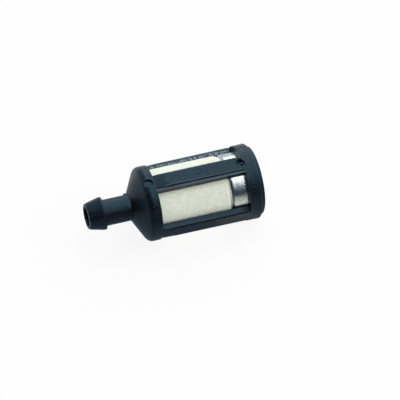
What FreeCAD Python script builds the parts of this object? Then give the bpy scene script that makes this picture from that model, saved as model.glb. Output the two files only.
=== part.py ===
import FreeCAD, Part
import Sketcher
import os

# In-tank fuel filter of a small two-stroke engine, lying on its side as it does on a bench.
# The origin is the centre of the nipple's mouth. +X runs along the axis, from the mouth to the
# weighted end, and +Z is up. Lengths are millimetres. "Station" means distance along +X.

DIMENSIONS = {
    # Hose nipple
    "mouth_radius": 2.48,
    "mouth_bevel": 0.34,
    "barb_start_radius": 2.67,
    "barb_crest_radius": 3.28,
    "barb_crest_start": 2.94,
    "barb_back": 3.34,
    "neck_radius": 2.625,
    "bore_radius": 1.9,
    "flash_length": 0.45,
    "flash_width": 0.3,
    "flash_rise": 0.26,
    "flash_station": 8.15,
    "flash_angle": -59.5,
    # Cone and shoulder
    "cone_start": 8.72,
    "cone_root_radius": 2.72,
    "cone_end": 11.35,
    "shoulder_radius": 7.5,
    "shoulder_round": 1.3,
    # Cage
    "cage_inner_radius": 6.5,
    "window_start": 13.45,
    "window_end": 31.54,
    "ramp_end": 17.5,
    "rib_stock_radius": 8.0,
    "rib_face_start": 7.72,
    "rib_face_end": 7.84,
    "rib_wide_wall": 1.58,
    "rib_wide_foot": 2.05,
    "rib_narrow_wall": 1.5,
    "rib_foot_height": 7.25,
    "rib_edge_bevel": 0.25,
    "rib_turn": 15.5,
    "rib_count": 4,
    "end_ring_radius": 7.56,
    "end_ring_lip_radius": 7.59,
    "end_ring_bevel": 0.18,
    "cage_end": 34.05,
    # Seat of the felt, inside the shoulder
    "seat_station": 12.3,
    "spigot_radius": 2.65,
    "spigot_length": 2.0,
    # Moulding marks on one rib
    "ejector_station": 12.2,
    "ejector_radius": 0.94,
    "ejector_floor": 7.05,
    "gate_station": 31.1,
    "gate_radius": 0.86,
    "gate_floor": 7.0,
    "gate_pip_radius": 0.24,
    "gate_pip_shift": 0.28,
    "maker_ring_station": 22.4,
    "maker_ring_radius": 0.62,
    "maker_ring_width": 0.16,
    "maker_ring_floor": 7.7,
    "marks_plane": 8.5,
    # Felt
    "felt_radius": 6.45,
    "felt_bore_radius": 3.55,
    "felt_end": 27.95,
    # Support core
    "core_radius": 3.5,
    "core_bore_radius": 2.7,
    "core_slot_first": 15.2,
    "core_slot_length": 1.8,
    "core_slot_width": 2.6,
    "core_slot_pitch": 2.7,
    "core_slot_columns": 4,
    # Weight
    "weight_radius": 6.4,
    "weight_end": 33.4,
    "weight_edge_round": 0.8,
    "weight_spigot_length": 1.9,
    "weight_dimple_radius": 1.1,
    "weight_dimple_depth": 0.5,
    # Retaining ring
    "ring_hole_radius": 5.3,
    "ring_flange_radius": 6.92,
    "ring_flange_end": 34.78,
    "ring_seam_radius": 6.7,
    "ring_seam_width": 0.16,
    "ring_edge_round": 0.22,
}

CORE_SLOT_ROWS = 4
SHEET = "Dimensions"


class Size:
    """A length that carries both its number and the sheet formula that drives it."""

    def __init__(self, value, formula):
        self.value = value
        self.formula = formula

    def __add__(self, other):
        return Size(self.value + other.value, f"({self.formula} + {other.formula})")

    def __sub__(self, other):
        return Size(self.value - other.value, f"({self.formula} - {other.formula})")

    def __mul__(self, factor):
        return Size(self.value * factor, f"({self.formula} * {factor})")

    def __neg__(self):
        return Size(-self.value, f"(-{self.formula})")


def size(name):
    return Size(DIMENSIONS[name], f"{SHEET}.{name}")


ZERO = Size(0.0, "0 mm")


def make_sheet(doc):
    sheet = doc.addObject("Spreadsheet::Sheet", SHEET)
    for row, (name, value) in enumerate(DIMENSIONS.items(), start=1):
        sheet.set(f"A{row}", name)
        sheet.set(f"B{row}", str(value))
        sheet.setAlias(f"B{row}", name)
    doc.recompute()


def bind(thing, prop, length):
    """Set a property and tie it to the sheet."""
    thing.setExpression(prop, length.formula)


def new_body(doc, label):
    body = doc.addObject("PartDesign::Body", label)
    body.Label = label
    body.Placement = FreeCAD.Placement()
    return body


def new_sketch(body, name, role, offset=ZERO):
    """A sketch on one of the body's own origin planes, lifted along the plane's normal."""
    sketch = body.newObject("Sketcher::SketchObject", name)
    plane = next(item for item in body.Origin.OriginFeatures if item.Role == role)
    sketch.AttachmentSupport = [(plane, "")]
    sketch.MapMode = "FlatFace"
    lift = FreeCAD.Vector(0, 0, offset.value)
    sketch.AttachmentOffset = FreeCAD.Placement(lift, FreeCAD.Rotation())
    bind(sketch, "AttachmentOffset.Base.z", offset)
    return sketch


def hold_point(sketch, edge, end, across, up):
    """Pin one end of an edge at its two distances from the sketch's origin."""
    places = (("DistanceX", across), ("DistanceY", up))
    for kind, length in places:
        index = sketch.addConstraint(Sketcher.Constraint(kind, -1, 1, edge, end, length.value))
        sketch.setExpression(f"Constraints[{index}]", length.formula)


def draw_outline(sketch, points):
    """Closed outline of straight edges through the points, each point tied to the sheet."""
    corners = [FreeCAD.Vector(across.value, up.value, 0) for across, up in points]
    edges = []
    for start, end in zip(corners, corners[1:] + corners[:1]):
        edges.append(sketch.addGeometry(Part.LineSegment(start, end), False))
    for edge, following in zip(edges, edges[1:] + edges[:1]):
        sketch.addConstraint(Sketcher.Constraint("Coincident", edge, 2, following, 1))
    for edge, (across, up) in zip(edges, points):
        hold_point(sketch, edge, 1, across, up)


def draw_circle(sketch, across, up, radius):
    centre = FreeCAD.Vector(across.value, up.value, 0)
    normal = FreeCAD.Vector(0, 0, 1)
    circle = sketch.addGeometry(Part.Circle(centre, normal, radius.value), False)
    index = sketch.addConstraint(Sketcher.Constraint("Radius", circle, radius.value))
    sketch.setExpression(f"Constraints[{index}]", radius.formula)
    hold_point(sketch, circle, 3, across, up)


def turn(body, points):
    """Turned shape: the half outline (station, radius) swept once round the axis."""
    sketch = new_sketch(body, f"{body.Label}_outline", "XY_Plane")
    draw_outline(sketch, points)
    revolution = body.newObject("PartDesign::Revolution", f"{body.Label}_turned")
    revolution.Profile = sketch
    revolution.ReferenceAxis = (sketch, ["H_Axis"])
    revolution.Angle = 360.0
    body.Document.recompute()
    return revolution


def cut(body, name, sketch, depth, both_sides=False):
    """Pocket that must take material away, on one side of its sketch or centred on it."""
    before = body.Shape.Volume
    pocket = body.newObject("PartDesign::Pocket", name)
    pocket.Profile = sketch
    if both_sides:
        pocket.SideType = "Symmetric"
    bind(pocket, "Length", depth)
    body.Document.recompute()
    if body.Shape.Volume > before - 1e-4:
        raise RuntimeError(f"{name} cuts nothing")
    return pocket


def repeat_round_axis(body, feature, count):
    """Copies of a feature, evenly spaced round the X axis."""
    axis = next(item for item in body.Origin.OriginFeatures if item.Role == "X_Axis")
    pattern = body.newObject("PartDesign::PolarPattern", f"{feature.Name}_pattern")
    pattern.Originals = [feature]
    pattern.Axis = (axis, [""])
    pattern.Angle = 360.0
    bind(pattern, "Occurrences", count)
    body.Tip = pattern
    body.Document.recompute()
    return pattern


def round_edges(body, name, radius, wanted):
    """Fillet every edge of the body's latest shape for which wanted(edge) is true."""
    base = body.Tip
    names = [f"Edge{i}" for i, edge in enumerate(base.Shape.Edges, start=1) if wanted(edge)]
    if not names:
        raise RuntimeError(f"{name} finds no edge")
    fillet = body.newObject("PartDesign::Fillet", name)
    fillet.Base = (base, names)
    bind(fillet, "Radius", radius)
    body.Tip = fillet
    body.Document.recompute()
    return fillet


def is_hoop(edge, station, radius):
    """True for a full circle round the axis at a station and radius."""
    if not isinstance(edge.Curve, Part.Circle):
        return False
    near_station = abs(edge.BoundBox.Center.x - station.value) < 1e-3
    return near_station and abs(edge.Curve.Radius - radius.value) < 1e-3


def housing_outline():
    """Nipple, cone, shoulder and cage wall as one half outline, outside first, then inside."""
    cage = size("cage_inner_radius")
    spigot_end = size("seat_station") + size("spigot_length")
    return [
        (ZERO, size("mouth_radius")),
        (size("mouth_bevel"), size("barb_start_radius")),
        (size("barb_crest_start"), size("barb_crest_radius")),
        (size("barb_back"), size("barb_crest_radius")),
        (size("barb_back"), size("neck_radius")),
        (size("cone_start"), size("neck_radius")),
        (size("cone_start"), size("cone_root_radius")),
        (size("cone_end"), size("shoulder_radius")),
        (size("window_start"), size("shoulder_radius")),
        (size("ramp_end"), size("rib_stock_radius")),
        (size("window_end"), size("rib_stock_radius")),
        (size("window_end"), size("end_ring_radius")),
        (size("cage_end") - size("end_ring_bevel"), size("end_ring_lip_radius")),
        (size("cage_end"), size("end_ring_lip_radius") - size("end_ring_bevel")),
        (size("cage_end"), cage),
        (size("seat_station"), cage),
        (size("seat_station"), size("spigot_radius")),
        (spigot_end, size("spigot_radius")),
        (spigot_end, size("bore_radius")),
        (ZERO, size("bore_radius")),
    ]


def cut_windows(body):
    """Four windows. Each rib has one plain side and one that steps out to a wider foot."""
    foot = size("rib_wide_foot")
    step = size("rib_foot_height")
    wall = size("rib_wide_wall")
    plain = size("rib_narrow_wall")
    face = (size("rib_face_start") + size("rib_face_end")) * 0.5
    bevel = size("rib_edge_bevel")
    inner = step - plain
    outer = size("marks_plane")
    stepped_side = [
        (inner, foot),
        (step, foot),
        (step, wall),
        (face - bevel, wall),
        (face, wall - bevel),
        (outer, wall - bevel),
    ]
    plain_side = [
        (plain - bevel, outer),
        (plain - bevel, face),
        (plain, face - bevel),
        (plain, inner),
    ]
    sketch = new_sketch(body, "window_outline", "YZ_Plane", size("window_end"))
    draw_outline(sketch, stepped_side + [(outer, outer)] + plain_side)
    window = cut(body, "window", sketch, size("window_end") - size("window_start"))
    repeat_round_axis(body, window, size("rib_count"))


def cut_rib_faces(body):
    """Flat outer face on each rib, cut into the round stock and rising towards the end ring."""
    start = size("window_start")
    end = size("window_end")
    top = size("marks_plane")
    slope = [(start, size("rib_face_start")), (end, size("rib_face_end"))]
    sketch = new_sketch(body, "rib_face_outline", "XZ_Plane")
    draw_outline(sketch, slope + [(end, top), (start, top)])
    flat = cut(body, "rib_face", sketch, size("rib_wide_foot") * 2, both_sides=True)
    repeat_round_axis(body, flat, size("rib_count"))


def cut_moulding_marks(body):
    """Ejector disc, gate recess with its pip and a plain shallow ring, all on the top rib."""
    plane = size("marks_plane")
    ejector = new_sketch(body, "ejector_outline", "XY_Plane", plane)
    draw_circle(ejector, size("ejector_station"), ZERO, size("ejector_radius"))
    cut(body, "ejector_mark", ejector, plane - size("ejector_floor"))

    gate = new_sketch(body, "gate_outline", "XY_Plane", plane)
    draw_circle(gate, size("gate_station"), ZERO, size("gate_radius"))
    pip_station = size("gate_station") + size("gate_pip_shift")
    draw_circle(gate, pip_station, -size("gate_pip_shift"), size("gate_pip_radius"))
    cut(body, "gate_mark", gate, plane - size("gate_floor"))

    maker = new_sketch(body, "maker_ring_outline", "XY_Plane", plane)
    inside = size("maker_ring_radius") - size("maker_ring_width")
    draw_circle(maker, size("maker_ring_station"), ZERO, size("maker_ring_radius"))
    draw_circle(maker, size("maker_ring_station"), ZERO, inside)
    cut(body, "maker_ring", maker, plane - size("maker_ring_floor"))


def add_flash(body):
    """Small nub of mould flash on the neck, just ahead of the cone."""
    angle = size("flash_angle").value
    turned = FreeCAD.Rotation(FreeCAD.Vector(1, 0, 0), angle)
    depth = size("neck_radius") - size("flash_width")
    corner = FreeCAD.Vector(0, -0.5 * size("flash_width").value, depth.value)
    nub = body.newObject("PartDesign::AdditiveBox", "flash_nub")
    bind(nub, "Length", size("flash_length"))
    bind(nub, "Width", size("flash_width"))
    bind(nub, "Height", size("flash_width") + size("flash_rise"))
    along = FreeCAD.Vector(size("flash_station").value, 0, 0)
    nub.Placement = FreeCAD.Placement(along + turned.multVec(corner), turned)
    body.Document.recompute()


def make_housing(doc):
    """One nylon moulding: barbed nipple, cone, shoulder ring, four ribs and end ring."""
    body = new_body(doc, "filter_housing")
    turn(body, housing_outline())

    def at_shoulder(edge):
        return is_hoop(edge, size("cone_end"), size("shoulder_radius"))

    round_edges(body, "shoulder_round", size("shoulder_round"), at_shoulder)
    cut_windows(body)
    cut_rib_faces(body)
    cut_moulding_marks(body)
    add_flash(body)
    body.Placement = FreeCAD.Placement(
        FreeCAD.Vector(), FreeCAD.Rotation(FreeCAD.Vector(1, 0, 0), size("rib_turn").value)
    )
    bind(body, "Placement.Rotation.Angle", size("rib_turn"))
    return body


def make_felt(doc):
    """Thick-walled felt tube, held between the shoulder's seat and the weight."""
    body = new_body(doc, "felt_element")
    start = size("seat_station")
    end = size("felt_end")
    outside = size("felt_radius")
    inside = size("felt_bore_radius")
    turn(body, [(start, inside), (start, outside), (end, outside), (end, inside)])
    return body


def make_core(doc):
    """Slotted tube that holds the felt open against the pump's suction."""
    body = new_body(doc, "support_core")
    start = size("seat_station")
    end = size("felt_end")
    outside = size("core_radius")
    inside = size("core_bore_radius")
    turn(body, [(start, inside), (start, outside), (end, outside), (end, inside)])

    half = size("core_slot_width") * 0.5
    sketch = new_sketch(body, "slot_outline", "XY_Plane", size("core_radius"))
    for row in range(CORE_SLOT_ROWS):
        left = size("core_slot_first") + size("core_slot_pitch") * row
        right = left + size("core_slot_length")
        draw_outline(sketch, [(left, -half), (right, -half), (right, half), (left, half)])
    slots = cut(body, "slots", sketch, size("core_radius"))
    repeat_round_axis(body, slots, size("core_slot_columns"))
    return body


def make_weight(doc):
    """Plated steel slug with a spigot that plugs the core and a centre dimple at the back."""
    body = new_body(doc, "end_weight")
    front = size("felt_end")
    back = size("weight_end")
    outside = size("weight_radius")
    spigot_start = front - size("weight_spigot_length")
    dimple_floor = back - size("weight_dimple_depth")
    turn(
        body,
        [
            (spigot_start, ZERO),
            (spigot_start, size("spigot_radius")),
            (front, size("spigot_radius")),
            (front, outside),
            (back, outside),
            (back, size("weight_dimple_radius")),
            (dimple_floor, ZERO),
        ],
    )

    def at_rim(edge):
        return is_hoop(edge, front, outside) or is_hoop(edge, back, outside)

    round_edges(body, "weight_rim_round", size("weight_edge_round"), at_rim)
    return body


def make_retaining_ring(doc):
    """Ring pressed into the cage's mouth behind the weight, with a seam under its flange."""
    body = new_body(doc, "retaining_ring")
    hole = size("ring_hole_radius")
    plug = size("cage_inner_radius")
    mouth = size("cage_end")
    seam_end = mouth + size("ring_seam_width")
    flange = size("ring_flange_radius")
    turn(
        body,
        [
            (size("weight_end"), hole),
            (size("weight_end"), plug),
            (mouth, plug),
            (mouth, size("ring_seam_radius")),
            (seam_end, size("ring_seam_radius")),
            (seam_end, flange),
            (size("ring_flange_end"), flange),
            (size("ring_flange_end"), hole),
        ],
    )

    def at_back(edge):
        outer = is_hoop(edge, size("ring_flange_end"), flange)
        return outer or is_hoop(edge, size("ring_flange_end"), hole)

    round_edges(body, "ring_edge_round", size("ring_edge_round"), at_back)
    return body


def check_document(doc):
    for thing in doc.Objects:
        if "Invalid" in thing.State or "Error" in thing.State:
            raise RuntimeError(f"{thing.Name} failed: {thing.State}")


def check_solid(body):
    shape = body.Shape
    if shape.isNull() or not shape.isValid() or len(shape.Solids) != 1:
        raise RuntimeError(f"{body.Label} is not one valid solid")


def main():
    doc = FreeCAD.newDocument("fuel_filter")
    make_sheet(doc)
    makers = (make_housing, make_felt, make_core, make_weight, make_retaining_ring)
    bodies = [make(doc) for make in makers]
    doc.recompute()
    check_document(doc)
    os.makedirs("parts", exist_ok=True)
    for body in bodies:
        check_solid(body)
        body.Shape.exportStep(f"parts/{body.Label}.step")
        print(f"{body.Label}: {body.Shape.Volume:.2f} mm3")


main()
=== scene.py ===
import bpy
import math
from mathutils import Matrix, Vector


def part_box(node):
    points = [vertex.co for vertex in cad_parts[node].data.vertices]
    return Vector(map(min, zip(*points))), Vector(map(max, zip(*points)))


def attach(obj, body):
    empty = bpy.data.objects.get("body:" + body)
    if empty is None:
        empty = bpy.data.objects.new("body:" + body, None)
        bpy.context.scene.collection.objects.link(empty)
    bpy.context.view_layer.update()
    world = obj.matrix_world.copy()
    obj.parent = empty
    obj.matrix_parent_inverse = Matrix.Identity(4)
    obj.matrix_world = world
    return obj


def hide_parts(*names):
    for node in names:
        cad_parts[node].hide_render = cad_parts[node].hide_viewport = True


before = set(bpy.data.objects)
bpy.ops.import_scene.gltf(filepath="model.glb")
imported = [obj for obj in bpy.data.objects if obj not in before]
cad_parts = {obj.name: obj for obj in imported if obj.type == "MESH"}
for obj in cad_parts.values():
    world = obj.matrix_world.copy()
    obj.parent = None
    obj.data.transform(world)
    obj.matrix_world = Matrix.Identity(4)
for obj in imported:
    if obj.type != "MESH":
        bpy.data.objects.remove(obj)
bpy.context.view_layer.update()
bpy.ops.object.select_all(action="DESELECT")

# ------------------------------------------------------------------------------------------------
# Filter housing: nipple, cone, shoulder, ribs and end ring in one injection moulding of black
# nylon. The mould leaves a fine spark-eroded grain and faint flow streaks along the axis.
# Handling leaves hairline scuffs and dust. Pale lines on the ledges and rib corners are painted
# highlights, and pale specks on the mouth rim and one far rib wall are painted glints.
# ------------------------------------------------------------------------------------------------

MM = 0.001


class Wiring:
    """A node tree being wired: adds nodes, sets them and joins them up."""

    def __init__(self, tree):
        self.tree = tree

    def feed(self, socket, value):
        """Join another node's socket to this one, or set a plain value on it."""
        if isinstance(value, bpy.types.NodeSocket):
            self.tree.links.new(value, socket)
        else:
            socket.default_value = value

    def add(self, kind, feeds=None, **settings):
        """A new node with its settings made and its inputs fed."""
        node = self.tree.nodes.new(kind)
        for name, value in settings.items():
            setattr(node, name, value)
        for name, value in (feeds or {}).items():
            self.feed(node.inputs[name], value)
        return node

    def stretch(self, where, scale=(1, 1, 1), turn=(0, 0, 0)):
        feeds = {"Vector": where, "Scale": scale, "Rotation": turn}
        return self.add("ShaderNodeMapping", feeds).outputs["Vector"]

    def place(self, turn=(0, 0, 0)):
        """Object coordinates in millimetres, turned."""
        where = self.add("ShaderNodeTexCoord").outputs["Object"]
        return self.stretch(where, (1 / MM, 1 / MM, 1 / MM), turn)

    def split(self, where):
        return self.add("ShaderNodeSeparateXYZ", {"Vector": where}).outputs

    def noise(self, where, scale, detail, roughness=0.5, distortion=0.0):
        feeds = {
            "Vector": where,
            "Scale": scale,
            "Detail": detail,
            "Roughness": roughness,
            "Distortion": distortion,
        }
        return self.add("ShaderNodeTexNoise", feeds).outputs["Fac"]

    def reckon(self, operation, *values):
        """One Math node worked on the values, each a number or a socket."""
        node = self.add("ShaderNodeMath", dict(enumerate(values)), operation=operation)
        return node.outputs["Value"]

    def all_of(self, first, *others):
        """Mask that is full only where every mask is."""
        for other in others:
            first = self.reckon("MULTIPLY", first, other)
        return first

    def spread(self, value, low, high, from_low=0.0, from_high=1.0, smooth=False):
        """The value moved from one range to another and held inside it."""
        feeds = {
            "Value": value,
            "From Min": from_low,
            "From Max": from_high,
            "To Min": low,
            "To Max": high,
        }
        kind = "SMOOTHSTEP" if smooth else "LINEAR"
        node = self.add("ShaderNodeMapRange", feeds, interpolation_type=kind)
        return node.outputs["Result"]

    def near(self, value, middle, reach, fade):
        """Mask that is full within reach of the middle and gone a fade further out."""
        away_from = self.reckon("ABSOLUTE", self.reckon("SUBTRACT", value, middle))
        return self.spread(away_from, 1.0, 0.0, reach, reach + fade)

    def mix_colour(self, factor, first, second):
        """First colour where the factor is 0, second where it is 1."""
        node = self.add("ShaderNodeMix", {"Factor": factor}, data_type="RGBA")
        inlets = {socket.name: socket for socket in node.inputs if socket.type == "RGBA"}
        self.feed(inlets["A"], first)
        self.feed(inlets["B"], second)
        return next(socket for socket in node.outputs if socket.type == "RGBA")


class Recipe(Wiring):
    """The wiring of one material round its Principled shader."""

    def __init__(self, name):
        self.material = bpy.data.materials.new(name)
        self.material.use_nodes = True
        super().__init__(self.material.node_tree)
        self.shader = self.tree.nodes["Principled BSDF"]

    def coat(self, feeds):
        """Give the shader these colours and values, each its own or another node's."""
        for name, value in feeds.items():
            self.feed(self.shader.inputs[name], value)

    def bump(self, height, distance, strength=1.0):
        feeds = {"Height": height, "Distance": distance, "Strength": strength}
        self.coat({"Normal": self.add("ShaderNodeBump", feeds).outputs["Normal"]})


def dress(piece, material):
    """The piece wears this material and no other."""
    piece.data.materials.clear()
    piece.data.materials.append(material)


def build_mould_skin():
    """Moulded skin: grain and flow as a height, cloudy gloss, and sparse dust and scuffs."""
    tree = bpy.data.node_groups.new("mould_skin", "ShaderNodeTree")
    for name, kind in (("Vector", "Vector"), ("Grain", "Float"), ("Flow", "Float")):
        tree.interface.new_socket(name, in_out="INPUT", socket_type=f"NodeSocket{kind}")
    for name in ("Height", "Gloss", "Dust", "Scuff"):
        tree.interface.new_socket(name, in_out="OUTPUT", socket_type="NodeSocketFloat")
    wiring = Wiring(tree)
    given = wiring.add("NodeGroupInput").outputs
    where = given["Vector"]

    grain = wiring.noise(where, scale=given["Grain"], detail=3.0, roughness=0.6)
    along_axis = wiring.stretch(where, scale=(0.16, 1.6, 1.6))
    flow = wiring.noise(along_axis, scale=1.0, detail=2.0)
    height = wiring.reckon("ADD", grain, wiring.reckon("MULTIPLY", flow, given["Flow"]))
    specks = wiring.add("ShaderNodeTexVoronoi", {"Vector": where, "Scale": 1.7}).outputs["Distance"]
    slant = wiring.stretch(where, scale=(0.35, 5.0, 0.9), turn=(0.5, 0.3, 0.6))
    hairlines = wiring.noise(slant, scale=1.3, detail=1.0)
    results = {
        "Height": height,
        "Gloss": wiring.noise(where, scale=0.45, detail=4.0),
        "Dust": wiring.spread(specks, 0.0, 1.0, from_low=0.075, from_high=0.035),
        "Scuff": wiring.spread(hairlines, 0.0, 1.0, from_low=0.68, from_high=0.76),
    }
    wiring.add("NodeGroupOutput", results)
    return tree


mould_skin = build_mould_skin()


def moulded_skin(recipe, grain, flow):
    """The height, gloss, dust and scuff of a moulded skin with this grain and flow."""
    feeds = {"Vector": recipe.place(), "Grain": grain, "Flow": flow}
    return recipe.add("ShaderNodeGroup", feeds, node_tree=mould_skin).outputs


def black_nylon(name, grain, flow, gloss_low, gloss_high):
    """Black nylon but for its base colour: the recipe, its skin and the colour to finish with."""
    pit_black = (0.0022, 0.0035, 0.0065, 1)
    peak_black = (0.012, 0.0165, 0.023, 1)
    scuff_grey = (0.03, 0.037, 0.044, 1)
    dust_grey = (0.09, 0.1, 0.105, 1)
    gloss_blue = (0.48, 0.78, 1.0, 1)

    recipe = Recipe(name)
    skin = moulded_skin(recipe, grain, flow)
    high_spots = recipe.spread(skin["Height"], 0.0, 1.0, from_low=0.6, from_high=0.95)
    grained = recipe.mix_colour(high_spots, pit_black, peak_black)
    scuffed = recipe.mix_colour(recipe.spread(skin["Scuff"], 0.0, 0.9), grained, scuff_grey)
    dusty = recipe.mix_colour(recipe.spread(skin["Dust"], 0.0, 0.4), scuffed, dust_grey)
    roughness = recipe.spread(skin["Gloss"], gloss_low, gloss_high, from_low=0.3, from_high=0.7)
    recipe.coat({"Roughness": roughness, "Specular Tint": gloss_blue})
    recipe.bump(skin["Height"], distance=0.045 * MM)
    return recipe, skin, dusty


def paint_housing_highlights(recipe, skin, colour):
    """Painted highlights on ledges and rib corners and painted glints on the mouth and a far wall.
    """
    rib_turn = math.radians(15.5)
    ledge_height, ledge_across = 7.25, 1.83
    corner_height, corner_across = 7.66, 1.42
    wall_height, wall_across = 6.5, 2.05
    cage_middle, cage_reach = 22.5, 9.0
    mouth_reach = 0.12
    # Pale grey painted as highlight lines on the ledges and the ribs' top corners, where they catch
    # the light.
    highlight_line_grey = (0.085, 0.115, 0.14, 1)
    # Pale blue-grey painted as sparse glints on the rim of the mouth.
    glint_grey = (0.4, 0.5, 0.56, 1)
    # Grey painted as glinting speckle on the far rib's inner wall.
    speckle_glint_grey = (0.24, 0.3, 0.33, 1)

    turned = recipe.split(recipe.place(turn=(-rib_turn, 0, 0)))
    level = recipe.reckon("ABSOLUTE", turned["Y"])
    upright = recipe.reckon("ABSOLUTE", turned["Z"])
    height = recipe.reckon("MAXIMUM", level, upright)
    across = recipe.reckon("MINIMUM", level, upright)
    on_cage = recipe.near(turned["X"], cage_middle, reach=cage_reach, fade=0.3)
    off_near_rib = recipe.near(turned["Y"], 2.0, reach=6.5, fade=0.5)
    broken = recipe.spread(skin["Height"], 0.3, 1.0, from_low=0.45, from_high=0.9)
    patchy = recipe.spread(skin["Height"], 0.0, 1.0, from_low=0.7, from_high=0.84)
    sparse = recipe.spread(skin["Height"], 0.0, 1.0, from_low=0.84, from_high=0.92)

    # Painted highlight: a broken pale line along each rib's ledge.
    ledge = recipe.all_of(
        recipe.near(height, ledge_height, reach=0.03, fade=0.03),
        recipe.near(across, ledge_across, reach=0.24, fade=0.02),
        on_cage,
        broken,
    )
    # Painted highlight: a broken pale line along the ribs' top corners.
    corner = recipe.all_of(
        recipe.near(height, corner_height, reach=0.1, fade=0.04),
        recipe.near(across, corner_across, reach=0.07, fade=0.04),
        off_near_rib,
        on_cage,
        broken,
    )
    # Painted glints: sparse pale specks round the rim of the mouth.
    mouth = recipe.all_of(recipe.near(turned["X"], 0.0, reach=mouth_reach, fade=0.25), sparse)
    # Painted glints: patchy pale speckle on the far rib's inner wall, seen through the top window.
    far_wall_glints = recipe.all_of(
        recipe.near(turned["Y"], wall_height, reach=0.3, fade=0.4),
        recipe.near(across, wall_across, reach=0.04, fade=0.02),
        on_cage,
        patchy,
    )
    highlight_lined = recipe.mix_colour(recipe.reckon("MAXIMUM", ledge, corner), colour, highlight_line_grey)
    mouth_glinted = recipe.mix_colour(mouth, highlight_lined, glint_grey)
    return recipe.mix_colour(far_wall_glints, mouth_glinted, speckle_glint_grey)


housing_nylon, housing_skin, housing_colour = black_nylon(
    "black_nylon_housing", grain=3.6, flow=0.5, gloss_low=0.14, gloss_high=0.31
)
housing_nylon.coat({"Base Color": paint_housing_highlights(housing_nylon, housing_skin, housing_colour)})
dress(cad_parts["filter_housing"], housing_nylon.material)

# ------------------------------------------------------------------------------------------------
# Support core: a slotted tube moulded in undyed nylon. It slips over the housing's spigot and
# keeps the felt from collapsing when the pump draws.
# ------------------------------------------------------------------------------------------------


def natural_nylon():
    """Undyed nylon: cloudy between a yellower and a whiter milk, and fairly glossy."""
    yellow_milk = (0.62, 0.59, 0.5, 1)
    white_milk = (0.76, 0.74, 0.66, 1)

    recipe = Recipe("natural_nylon_core")
    skin = moulded_skin(recipe, grain=5.0, flow=0.3)
    milky = recipe.mix_colour(skin["Gloss"], yellow_milk, white_milk)
    recipe.coat({"Base Color": milky, "Roughness": recipe.spread(skin["Gloss"], 0.35, 0.5)})
    recipe.bump(skin["Height"], distance=0.015 * MM, strength=0.4)
    return recipe.material


dress(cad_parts["support_core"], natural_nylon())

# ------------------------------------------------------------------------------------------------
# Felt element: needled white felt, formed as a thick tube and pushed into the cage over the
# core. It is soft, so it stands a little proud in each window and is nipped flat at each rib.
# ------------------------------------------------------------------------------------------------

felt_low, felt_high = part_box("felt_element")
core_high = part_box("support_core")[1]
felt_length = felt_high.x - felt_low.x
felt_middle = (felt_high.x + felt_low.x) / 2
felt_outside = felt_high.z
felt_bore = core_high.z + 0.05 * MM
felt_swell = 0.3 * MM
felt_nap = 0.05 * MM
felt_rim = 0.3 * MM
felt_facets = 180
felt_rows = 72
outer_zone = 0.9 * felt_outside
same_place = 0.001 * MM
windows = 4
window_middle = math.radians(29.5)
window_fullness = 0.8
grip_at_ends = 28
nap_tufts = 0.9 * MM

bpy.ops.mesh.primitive_cylinder_add(
    vertices=felt_facets,
    radius=felt_outside - felt_swell,
    depth=felt_length,
    end_fill_type="NGON",
    location=(felt_middle, 0, 0),
    rotation=(0, math.pi / 2, 0),
)
felt = bpy.context.object
felt.name = "felt_tube"
bpy.ops.object.transform_apply(location=True, rotation=True, scale=True)


def select_faces(piece, wanted):
    """Leave edit mode with exactly the faces for which wanted(face) is true selected."""
    bpy.ops.object.mode_set(mode="EDIT")
    bpy.ops.mesh.select_mode(type="FACE")
    bpy.ops.mesh.select_all(action="DESELECT")
    bpy.ops.object.mode_set(mode="OBJECT")
    for face in piece.data.polygons:
        face.select = wanted(face)


def select_edges(piece, wanted):
    """Leave edit mode with exactly the edges for which wanted(first, second) is true selected."""
    bpy.ops.object.mode_set(mode="EDIT")
    bpy.ops.mesh.select_mode(type="EDGE")
    bpy.ops.mesh.select_all(action="DESELECT")
    bpy.ops.object.mode_set(mode="OBJECT")
    points = piece.data.vertices
    for edge in piece.data.edges:
        edge.select = wanted(*(points[index].co for index in edge.vertices))


def from_axis(point):
    return math.hypot(point.y, point.z)


select_faces(felt, lambda face: abs(face.normal.x) > 0.9)
bpy.ops.object.mode_set(mode="EDIT")
bpy.ops.mesh.inset(thickness=felt_outside - felt_swell - felt_bore, use_even_offset=True)
bpy.ops.mesh.bridge_edge_loops()
bpy.ops.object.mode_set(mode="OBJECT")


def at_outer_rim(first, second):
    both_outside = min(from_axis(first), from_axis(second)) > outer_zone
    return both_outside and abs(first.x - second.x) < same_place


select_edges(felt, at_outer_rim)
bpy.ops.object.mode_set(mode="EDIT")
bpy.ops.mesh.bevel(offset=felt_rim, segments=3, affect="EDGES")
bpy.ops.object.mode_set(mode="OBJECT")


def along_outside(first, second):
    both_outside = min(from_axis(first), from_axis(second)) > outer_zone
    return both_outside and abs(first.x - second.x) > felt_length / 2


select_edges(felt, along_outside)
bpy.ops.object.mode_set(mode="EDIT")
bpy.ops.mesh.subdivide(number_cuts=felt_rows)
bpy.ops.object.mode_set(mode="OBJECT")

in_window = felt.vertex_groups.new(name="in_window")
on_outside = felt.vertex_groups.new(name="on_outside")
for point in felt.data.vertices:
    if from_axis(point.co) < outer_zone:
        continue
    angle = math.atan2(point.co.z, -point.co.y) - window_middle
    from_end = (felt_length / 2 - abs(point.co.x - felt_middle)) / felt_length
    crown = min(1.0, window_fullness + window_fullness * math.cos(windows * angle))
    held = min(1.0, grip_at_ends * from_end)
    in_window.add([point.index], crown * held, "REPLACE")
    on_outside.add([point.index], 1.0, "REPLACE")


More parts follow.
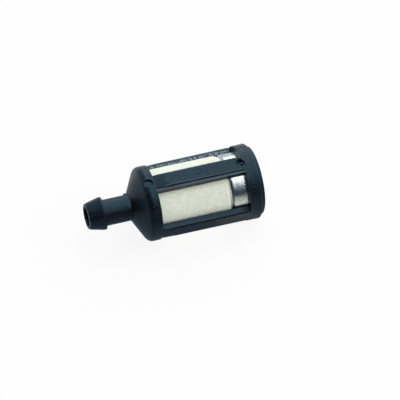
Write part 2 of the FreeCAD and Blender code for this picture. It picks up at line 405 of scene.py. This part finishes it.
def displace(piece, name, strength, vertex_group, texture=None, mid_level=0.0):
    """Push the group's points out along their normals, evenly or by the texture."""
    modifier = piece.modifiers.new(name, "DISPLACE")
    modifier.strength = strength
    modifier.mid_level = mid_level
    modifier.vertex_group = vertex_group
    if texture is not None:
        modifier.texture = texture
        modifier.texture_coords = "LOCAL"
    bpy.ops.object.modifier_apply(modifier=name)


nap = bpy.data.textures.new("felt_nap", "CLOUDS")
nap.noise_scale = nap_tufts
nap.noise_depth = 3
displace(felt, "swell", felt_swell - felt_nap, "in_window")
displace(felt, "nap", felt_nap, "on_outside", texture=nap, mid_level=0.5)
bpy.ops.object.shade_smooth_by_angle(angle=math.radians(50))


def white_felt():
    """Matted fibres that run two ways, in tufts, with a soft sheen."""
    shadow_white = (0.77, 0.81, 0.67, 1)
    fibre_white = (0.96, 0.98, 0.88, 1)
    tuft_white = (0.78, 0.82, 0.67, 1)

    recipe = Recipe("white_felt")
    place = recipe.place()
    along = recipe.stretch(place, scale=(0.35, 1.0, 1.0), turn=(0.0, 0.0, 0.5))
    around = recipe.stretch(place, scale=(1.0, 0.35, 0.6), turn=(0.7, 0.2, -0.4))
    matted = recipe.reckon(
        "ADD",
        recipe.noise(along, scale=5.0, detail=4.0, distortion=1.6),
        recipe.noise(around, scale=4.5, detail=4.0, distortion=1.6),
    )
    raised = recipe.spread(matted, 0.0, 1.0, from_low=0.85, from_high=1.12)
    fibrous = recipe.mix_colour(raised, shadow_white, fibre_white)
    clumps = recipe.noise(place, scale=0.8, detail=3.0)
    tufts = recipe.spread(clumps, 0.0, 0.5, from_low=0.42, from_high=0.68)
    recipe.coat(
        {
            "Base Color": recipe.mix_colour(tufts, fibrous, tuft_white),
            "Roughness": 0.95,
            "Specular IOR Level": 0.15,
            "Sheen Weight": 0.25,
            "Sheen Roughness": 0.5,
        }
    )
    recipe.bump(matted, distance=0.09 * MM, strength=0.8)
    return recipe.material


dress(felt, white_felt())
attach(felt, "root")
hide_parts("felt_element")

# ------------------------------------------------------------------------------------------------
# End weight: a short turned steel slug that sinks the filter to the bottom of the tank. It is
# barrel plated in nickel, so its side is bright but dimpled, and its back shows turning rings.
# ------------------------------------------------------------------------------------------------


def nickel_plate():
    """Bright plate, dimpled by the barrel, with dull patches and faint rings from the lathe."""
    dull_nickel = (0.84, 0.85, 0.8, 1)
    bright_nickel = (0.98, 0.98, 0.94, 1)
    ring_depth = 0.06

    recipe = Recipe("nickel_plate")
    place = recipe.place()
    dimples = recipe.noise(place, scale=2.6, detail=4.0, roughness=0.62)
    tarnish = recipe.noise(place, scale=1.1, detail=5.0)
    turning = recipe.add(
        "ShaderNodeTexWave",
        {"Vector": place, "Scale": 0.9, "Distortion": 0.6},
        wave_type="RINGS",
        rings_direction="X",
    )
    patches = recipe.spread(tarnish, 0.0, 1.0, from_low=0.35, from_high=0.65)
    recipe.coat(
        {
            "Base Color": recipe.mix_colour(patches, dull_nickel, bright_nickel),
            "Roughness": recipe.spread(tarnish, 0.14, 0.05, from_low=0.3, from_high=0.7),
            "Metallic": 1.0,
        }
    )
    rings_and_dimples = recipe.reckon("MULTIPLY_ADD", turning.outputs["Fac"], ring_depth, dimples)
    recipe.bump(rings_and_dimples, distance=0.04 * MM)
    return recipe.material


dress(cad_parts["end_weight"], nickel_plate())

# ------------------------------------------------------------------------------------------------
# Retaining ring: a black nylon ring pressed into the cage's mouth and spun down over it. It
# holds the weight and felt in, and its flange leaves a fine seam behind the end ring.
# ------------------------------------------------------------------------------------------------

ring_nylon, _, ring_colour = black_nylon(
    "black_nylon_ring", grain=9.0, flow=0.25, gloss_low=0.3, gloss_high=0.42
)
ring_nylon.coat({"Base Color": ring_colour})
dress(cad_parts["retaining_ring"], ring_nylon.material)

# ------------------------------------------------------------------------------------------------
# Camera, floor and light: a matt white paper floor, one broad soft light high on the right and
# a weaker glow from the wall behind. The near side of the room is dark. Shiny surfaces see the
# floor and the room darker and bluer than matt ones do, which keeps the black nylon black.
# ------------------------------------------------------------------------------------------------

view_azimuth = math.radians(-18.0)
view_elevation = math.radians(42.7)
view_distance = 0.628
lens_length = 288.0
aim_right = 0.02227
aim_up = 0.00330

away = Vector(
    (
        math.sin(view_azimuth) * math.cos(view_elevation),
        -math.cos(view_azimuth) * math.cos(view_elevation),
        math.sin(view_elevation),
    )
)
turned = (-away).to_track_quat("-Z", "Y")
aim = turned @ Vector((aim_right, aim_up, 0.0))

bpy.ops.object.camera_add(location=away * view_distance + aim)
camera = bpy.context.object
camera.name = "camera"
camera.rotation_mode = "QUATERNION"
camera.rotation_quaternion = turned
camera.data.lens = lens_length
camera.data.sensor_width = 36.0
camera.data.clip_start = 0.01
camera.data.clip_end = 20.0
bpy.context.scene.camera = camera
bpy.context.scene.view_settings.view_transform = "Standard"

floor_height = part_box("filter_housing")[0].z

bpy.ops.mesh.primitive_plane_add(size=3.0, location=(0, 0, floor_height))
floor = bpy.context.object
floor.name = "floor"


def white_paper():
    """Matt paper that glows evenly. Gloss sees it dim, but for one pale strip by the weight."""
    paper_grey = (0.09, 0.09, 0.09, 1)
    paper_glow = (0.9, 0.9, 0.9, 1)
    strip_glow = (0.46, 0.5, 0.45, 1)
    near_side, far_side = -26.0, 24.0
    near_dim = (0.03, 0.04, 0.05, 1)
    far_dim = (0.42, 0.46, 0.5, 1)
    dim_between = (
        (0.3, (0.128, 0.176, 0.224, 1)),
        (0.75, (0.16, 0.22, 0.28, 1)),
    )
    strip_turn = math.radians(-13.4)
    strip_left, strip_right = (22.0, 24.0), (29.5, 31.5)
    strip_near, strip_far = (-300.0, -90.0), (-17.0, -12.0)

    recipe = Recipe("white_paper")
    recipe.coat({"Base Color": paper_grey, "Roughness": 0.9, "Specular IOR Level": 0.0})
    across_floor = recipe.split(recipe.place())["Y"]
    way_back = recipe.spread(across_floor, 0.0, 1.0, from_low=near_side, from_high=far_side)
    dim = recipe.add("ShaderNodeValToRGB", {"Fac": way_back})
    bands = dim.color_ramp.elements
    bands[0].color = near_dim
    bands[1].color = far_dim
    for position, colour in dim_between:
        bands.new(position).color = colour

    on_strip = recipe.split(recipe.place(turn=(0, 0, strip_turn)))
    strip = recipe.all_of(
        recipe.spread(on_strip["X"], 0.0, 1.0, *strip_left),
        recipe.spread(on_strip["X"], 1.0, 0.0, *strip_right),
        recipe.spread(on_strip["Y"], 0.0, 1.0, *strip_near),
        recipe.spread(on_strip["Y"], 1.0, 0.0, *strip_far),
    )
    mirrored = recipe.mix_colour(strip, dim.outputs["Color"], strip_glow)
    in_gloss = recipe.add("ShaderNodeLightPath").outputs["Is Glossy Ray"]
    recipe.coat(
        {
            "Emission Color": recipe.mix_colour(in_gloss, paper_glow, mirrored),
            "Emission Strength": 1.0,
        }
    )
    return recipe.material


dress(floor, white_paper())

world = bpy.data.worlds.new("studio")
bpy.context.scene.world = world
world.use_nodes = True
sky = Wiring(world.node_tree)
direction = sky.add("ShaderNodeTexCoord").outputs["Generated"]
ray = sky.add("ShaderNodeLightPath").outputs

light_from = (0.896, 0.122, 0.428)
light_edge, light_full = 0.41, 0.46
wall_from = (0.554, 0.824, 0.121)
wall_edge, wall_full = -0.7, 0.16
room_glow = 0.05
wall_glow = 0.46
light_glow = 1.25
extra_on_matt = 0.18
backdrop_glow = 0.95
white = (1, 1, 1, 1)
shadow_blue = (0.5, 0.85, 1.25, 1)
wall_blue = (0.78, 0.94, 1.0, 1)


def glow_round(axis, edge, full, power):
    """Glow of a patch of the room, by how far a direction swings in towards its axis."""
    swing = sky.add("ShaderNodeVectorMath", {0: direction, 1: axis}, operation="DOT_PRODUCT")
    return sky.spread(swing.outputs["Value"], 0.0, power, edge, full, smooth=True)


soft_light = glow_round(light_from, light_edge, light_full, light_glow)
back_wall = glow_round(wall_from, wall_edge, wall_full, wall_glow)
room = sky.reckon("ADD", back_wall, sky.reckon("ADD", soft_light, room_glow))
lift = sky.reckon("MULTIPLY_ADD", ray["Is Diffuse Ray"], extra_on_matt, 1.0)
seen = sky.add(
    "ShaderNodeMix",
    {"Factor": ray["Is Camera Ray"], "A": sky.reckon("MULTIPLY", room, lift), "B": backdrop_glow},
)
shaded = sky.mix_colour(room, shadow_blue, white)
on_wall = sky.reckon("DIVIDE", back_wall, wall_glow)
tinted = sky.mix_colour(on_wall, shaded, wall_blue)
background = sky.tree.nodes["Background"]
sky.feed(background.inputs["Strength"], seen.outputs["Result"])
sky.feed(background.inputs["Color"], sky.mix_colour(ray["Is Glossy Ray"], white, tinted))
